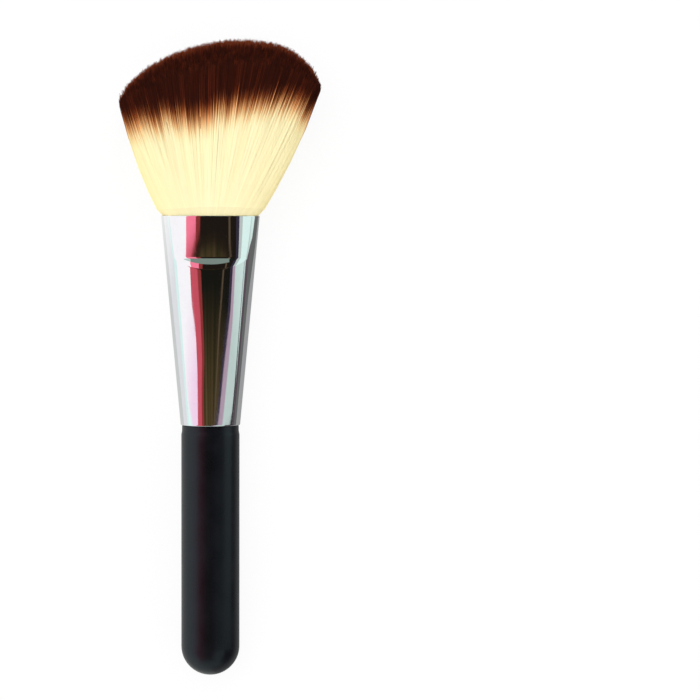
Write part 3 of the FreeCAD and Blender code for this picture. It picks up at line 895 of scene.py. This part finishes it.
class KABUKI_OT_plant_bristles(bpy.types.Operator):
    """Plant the bristles of the two faces and of the crown"""

    bl_idname = "kabuki.plant_bristles"
    bl_label = "Plant Bristles"

    def execute(self, context):
        fibres = settings("fibres")
        chance = np.random.default_rng(fibres.seed)
        tree = bristle_tree()
        material = fibre_finish()
        across, deep = brush_frame()[1:3]
        common = {
            "Fibre Radius": fibres.radius,
            "Taper": fibres.taper,
            "Tip Scatter": fibres.scatter,
            "Unevenness": fibres.unevenness,
            "Lock Size": fibres.lock_size,
            "Lock Pull": fibres.lock_pull,
            "Dye Spread": fibres.dye_spread,
            "Across": tuple(across),
            "Outwards": tuple(-deep),
        }
        pieces = []
        for index, (name, side) in enumerate((("bristles_front", -1), ("bristles_back", 1))):
            discs = disc_samples(fibres.side_count, chance, FACE_RING, side)
            options = dict(common, Segments=5, Seed=fibres.seed + 100 * index)
            options.update({"Root Bias": 1.6, "Flatness": 0.45, "Outwards": tuple(side * deep)})
            pieces.append(plant(name, tree, discs, FACE_START, options, material))
        crown = disc_samples(3 * fibres.crown_count, chance, CROWN_RING)
        crown = crown[np.argsort(crown[:, 0], kind="stable")]
        thirds = ("bristles_crown_left", "bristles_crown_middle", "bristles_crown_right")
        for index, name in enumerate(thirds):
            discs = crown[index * fibres.crown_count : (index + 1) * fibres.crown_count]
            options = dict(common, Segments=3, Seed=fibres.seed + 100 * (index + 2))
            pieces.append(plant(name, tree, discs, CROWN_START, options, material))
        for piece in pieces:
            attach(piece, "root")
            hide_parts("bristle_tuft")
        return {"FINISHED"}


class KABUKI_OT_finish_inside(bpy.types.Operator):
    """Give the thread and the resin inside the ferrule their own finishes"""

    bl_idname = "kabuki.finish_inside"
    bl_label = "Finish Inside"

    def execute(self, context):
        for name, material in (("root_thread", yarn_finish()), ("resin_plug", resin_finish())):
            node = frame["nodes"][name]
            if not node.material_slots:
                node.data.materials.append(material)
            for slot in node.material_slots:
                slot.material = material
        return {"FINISHED"}


def glow(name, shade, fade=None):
    """Plain light of one shade, or streaked with a list of them. It may fade to another along the brush."""
    finish = Finish(name)
    if isinstance(shade, list):
        streaks = finish.noise(finish.stretched((1.6, 0.25, 1.6)), 1.0, 3.0, 0.55)
        seen = finish.ramp(streaks, [(place, tint + (1.0,)) for place, tint in shade])
    else:
        seen = shade + (1.0,)
    if fade:
        start, end, other = fade
        along = finish.add("ShaderNodeSeparateXYZ", {0: finish.stretched()}).outputs[1]
        seen = finish.mix(finish.spread(along, start, end, 0.0, 1.0), seen, other + (1.0,))
    return finish.show(finish.add("ShaderNodeEmission", {"Color": seen, "Strength": 1.0}))


def card(name, left, right, shade, fade=None, start=FIRST_SPOT, end=LAST_SPOT, nearer=0.0):
    """A card round the brush that only reflections see, between two edges in degrees from overhead.

    An edge is one number, or one for each spot along the brush.
    """
    reach = settings("studio").card_radius - nearer
    rows = [start] + [spot for spot in CARD_SPOTS if start < spot < end] + [end]
    edges = [np.interp(rows, CARD_SPOTS, np.broadcast_to(edge, len(CARD_SPOTS))) for edge in (left, right)]
    points, faces = [], []
    for along, first, last in zip(rows, *edges):
        for part in np.linspace(first, last, CARD_COLUMNS):
            turn = math.radians(part)
            points.append((reach * math.sin(turn), along, reach * math.cos(turn) + CARD_LIFT))
    for row in range(len(rows) - 1):
        for column in range(CARD_COLUMNS - 1):
            low = row * CARD_COLUMNS + column
            high = low + CARD_COLUMNS
            faces.append((low, low + 1, high + 1, high))
    show_in_reflections(mesh_object(name, points, faces, smooth=False), glow(name, shade, fade))


def show_in_reflections(piece, material):
    piece.data.materials.append(material)
    for rays in ("camera", "diffuse", "shadow", "transmission", "volume_scatter"):
        setattr(piece, "visible_" + rays, False)


class KABUKI_OT_set_studio(bpy.types.Operator):
    """Set the table, the soft lamps, the reflected cards and the camera"""

    bl_idname = "kabuki.set_studio"
    bl_label = "Set Studio"

    def execute(self, context):
        studio = settings("studio")
        scene = context.scene
        scene.view_settings.view_transform = "Standard"

        # White table that keeps a faint shadow
        table = mesh_object(
            "table", [(-6, -6, 0), (6, -6, 0), (6, 6, 0), (-6, 6, 0)], [(0, 1, 2, 3)], smooth=False
        )
        finish = Finish("table_white")
        paper = finish.add("ShaderNodeBsdfDiffuse", {"Color": (0.97, 0.97, 0.97, 1.0)})
        white = finish.add("ShaderNodeEmission", {"Color": WHITE, "Strength": 1.0})
        seen = finish.add("ShaderNodeLightPath")
        share = finish.math("MULTIPLY", seen.outputs["Is Camera Ray"], 0.91)
        blend = finish.add("ShaderNodeMixShader", {0: share, 1: paper.outputs[0], 2: white.outputs[0]})
        table.data.materials.append(finish.show(blend))

        # World: plain soft light, white behind the table, pale in reflections
        scene.world = bpy.data.worlds.new("studio")
        scene.world.use_nodes = True
        nodes = Nodes(scene.world.node_tree)
        path = nodes.add("ShaderNodeLightPath").outputs
        soft, clear, pale = (
            nodes.add("ShaderNodeBackground", {"Color": shade, "Strength": strength}).outputs[0]
            for shade, strength in ((WHITE, 0.80), (WHITE, 1.0), ((0.53, 0.64, 0.60, 1.0), 1.0))
        )
        seen = nodes.add("ShaderNodeMixShader", {0: path["Is Camera Ray"], 1: soft, 2: clear})
        seen = nodes.add("ShaderNodeMixShader", {0: path["Is Glossy Ray"], 1: seen.outputs[0], 2: pale})
        nodes.add("ShaderNodeOutputWorld", {"Surface": seen.outputs[0]})

        # A soft key from the upper left and a low one beyond the tips, seen by no mirror
        for name, place, size, power in (
            ("key_lamp", (-0.28, 0.18, 1.05), 0.9, studio.lamp_power),
            ("tip_lamp", (0.25, 0.85, 0.38), 0.6, studio.tip_lamp_power),
        ):
            lamp = bpy.data.lights.new(name, "AREA")
            lamp.size = size
            lamp.energy = power
            shown = bpy.data.objects.new(name, lamp)
            shown.location = place
            shown.rotation_euler = (-Vector(place)).to_track_quat("-Z", "Y").to_euler()
            shown.visible_glossy = False
            scene.collection.objects.link(shown)

        # Cards: a dark one overhead with a red strip at its left, pale ones low at both sides
        red_left = np.array((-58, -58, -49, -42, -42, -50, -49, -56, -44, -41))
        red_right = np.array((-24, -24, -24, -18, -20, -22, -26, -39, -18, -15))
        dark_right = np.array((6, 6, 34, 41, 48, 55, 55, 53, 54, 54))
        crease = np.array((8, 8, 15, 19.5, 22, 27, 34, 39, 32, 30))
        mauve_right = dark_right + np.array((15, 15, 15, 14, 12, 9, 6, 8, 8, 8))
        mint_right = (60, 60, 61, 78, 88, 91, 91, 91, 91, 91)
        cyan_right = (-74, -74, -74, -74, -85, -91, -91, -91, -91, -91)
        red_edge = red_left * 0.3 + red_right * 0.7
        browns = [
            (0.30, (0.010, 0.014, 0.005)),
            (0.44, (0.033, 0.030, 0.010)),
            (0.54, (0.075, 0.050, 0.020)),
            (0.66, (0.110, 0.078, 0.040)),
        ]
        middle, near = -0.32, -0.14
        fade = (-0.46, -0.33, (0.008, 0.008, 0.006))
        card("card_dark", red_right, dark_right, browns, fade, end=middle)
        card("card_dark_middle", red_right, dark_right, (0.009, 0.008, 0.006), start=middle, end=near)
        fade = (-0.122, -0.106, (0.013, 0.009, 0.007))
        card("card_dark_near", red_right, dark_right, browns, fade, start=near)
        card("card_streak", crease, crease + 3.5, (0.095, 0.066, 0.040), nearer=0.05)
        card("card_dusk", dark_right - 7, dark_right, (0.036, 0.029, 0.050), nearer=0.03)
        card("card_pink", red_left, red_edge, (0.58, 0.085, 0.12), (-0.108, -0.074, (1.0, 0.22, 0.34)))
        card("card_red", red_edge, red_right, (0.26, 0.036, 0.036))
        card("card_lilac", cyan_right, red_left, (0.95, 0.69, 0.88), (-0.40, -0.30, (1.0, 0.97, 1.0)))
        card("card_cyan", -91, cyan_right, (0.74, 0.95, 0.92), (-0.40, -0.30, (1.0, 1.0, 1.0)), end=middle)
        card("card_mauve", dark_right, mauve_right, (0.43, 0.31, 0.40), (-0.20, -0.13, (0.50, 0.55, 0.54)))
        card("card_mint", mauve_right, mint_right, (0.52, 0.63, 0.60), (-0.33, -0.10, (0.74, 0.93, 0.88)))
        card("card_line", mint_right, 91, (0.045, 0.035, 0.042), end=middle)
        card("card_far", -40, 38, (0.20, 0.255, 0.225), start=1.0, end=6.0)
        card("card_dark_far", 38, 80, (0.012, 0.011, 0.010), start=1.0, end=6.0)

        # Strips on the table that the low flanks of the ferrule reflect. Each has a side, a height with
        # the two places along the brush between which it changes, and its reach and shade on either side
        low, over = (0.0004, 0.014, 0.030), (0.0008, -0.10, -0.03)
        grey, line = (0.34, 0.34, 0.345), (0.055, 0.045, 0.052)
        for name, side, (height, bend, bent), reach, mouth_reach, shade, mouth_shade in (
            ("near_right", 1, low, (0.0, 0.030), (0.0, 0.020), grey, grey),
            ("middle_right", 1, low, (0.03, 0.06), (0.02, 0.045), (0.135, 0.14, 0.138), (0.13, 0.13, 0.13)),
            ("outer_right", 1, low, (0.060, 0.150), (0.045, 0.050), (0.10, 0.075, 0.09), (0.2, 0.18, 0.19)),
            ("far_right", 1, low, (0.150, 1.9), (0.050, 1.9), (0.52, 0.63, 0.60), (0.74, 0.93, 0.88)),
            ("foot_right", 1, over, (0.150, 1.8), (0.150, 0.1501), line, line),
            ("near_left", -1, low, (0.0, 0.030), (0.0, 0.030), (0.60, 0.62, 0.61), (0.86, 0.86, 0.86)),
            ("middle_left", -1, low, (0.030, 0.100), (0.030, 0.100), (0.77, 0.77, 0.80), (0.97, 0.97, 0.97)),
            ("outer_left", -1, low, (0.100, 1.9), (0.100, 1.9), (0.72, 0.93, 0.90), (1.0, 1.0, 1.0)),
        ):
            rows = ((-3.0, reach), (bend, reach), (bent, mouth_reach), (3.0, mouth_reach))
            points = [(side * out, along, height) for along, outs in rows for out in outs]
            faces = [(row, row + 1, row + 3, row + 2) for row in (0, 2, 4)]
            strip = mesh_object("strip_" + name, points, faces, smooth=False)
            show_in_reflections(strip, glow("strip_" + name, shade, (0.015, 0.040, mouth_shade)))

        camera = bpy.data.cameras.new("camera")
        camera.lens = studio.lens
        camera.sensor_width = 36.0
        camera.clip_start = 0.01
        eye = bpy.data.objects.new("camera", camera)
        origin = brush_frame()[0]
        eye.location = (origin.x, studio.aim_along, studio.camera_height)
        aim_height = 0.012
        lean = math.atan2(studio.aim_across - origin.x, studio.camera_height - aim_height)
        eye.rotation_euler = (0.0, -lean, 0.0)
        scene.collection.objects.link(eye)
        scene.camera = eye
        return {"FINISHED"}


class KABUKI_PT_dresser(bpy.types.Panel):
    """Panel that lists the brush's settings and its operators"""

    bl_idname = "KABUKI_PT_dresser"
    bl_label = "Kabuki Brush"
    bl_space_type = "VIEW_3D"
    bl_region_type = "UI"
    bl_category = "Kabuki Brush"

    def draw(self, context):
        for group in GROUPS:
            box = self.layout.box()
            box.label(text=group.replace("_", " ").capitalize())
            held = settings(group)
            for name in held.__annotations__:
                box.prop(held, name)
        for operator in OPERATORS:
            self.layout.operator(operator.bl_idname)


GROUPS = {
    "handle": HandleSizes,
    "ferrule": FerruleSizes,
    "fan": FanSizes,
    "fibres": FibreSizes,
    "colours": FinishColours,
    "studio": StudioSettings,
}
OPERATORS = (
    KABUKI_OT_turn_handle,
    KABUKI_OT_press_ferrule,
    KABUKI_OT_pack_fibres,
    KABUKI_OT_plant_bristles,
    KABUKI_OT_finish_inside,
    KABUKI_OT_set_studio,
)


def register():
    for group in GROUPS.values():
        bpy.utils.register_class(group)
    for name, group in GROUPS.items():
        setattr(bpy.types.Scene, f"kabuki_{name}", PointerProperty(type=group))
    for shown in OPERATORS + (KABUKI_PT_dresser,):
        bpy.utils.register_class(shown)


def unregister():
    for shown in reversed(OPERATORS + (KABUKI_PT_dresser,)):
        bpy.utils.unregister_class(shown)
    for name in GROUPS:
        delattr(bpy.types.Scene, f"kabuki_{name}")
    for group in reversed(list(GROUPS.values())):
        bpy.utils.unregister_class(group)


def main():
    register()
    bpy.ops.kabuki.turn_handle()
    bpy.ops.kabuki.press_ferrule()
    bpy.ops.kabuki.pack_fibres()
    bpy.ops.kabuki.plant_bristles()
    bpy.ops.kabuki.finish_inside()
    bpy.ops.kabuki.set_studio()


if __name__ == "__main__":
    main()
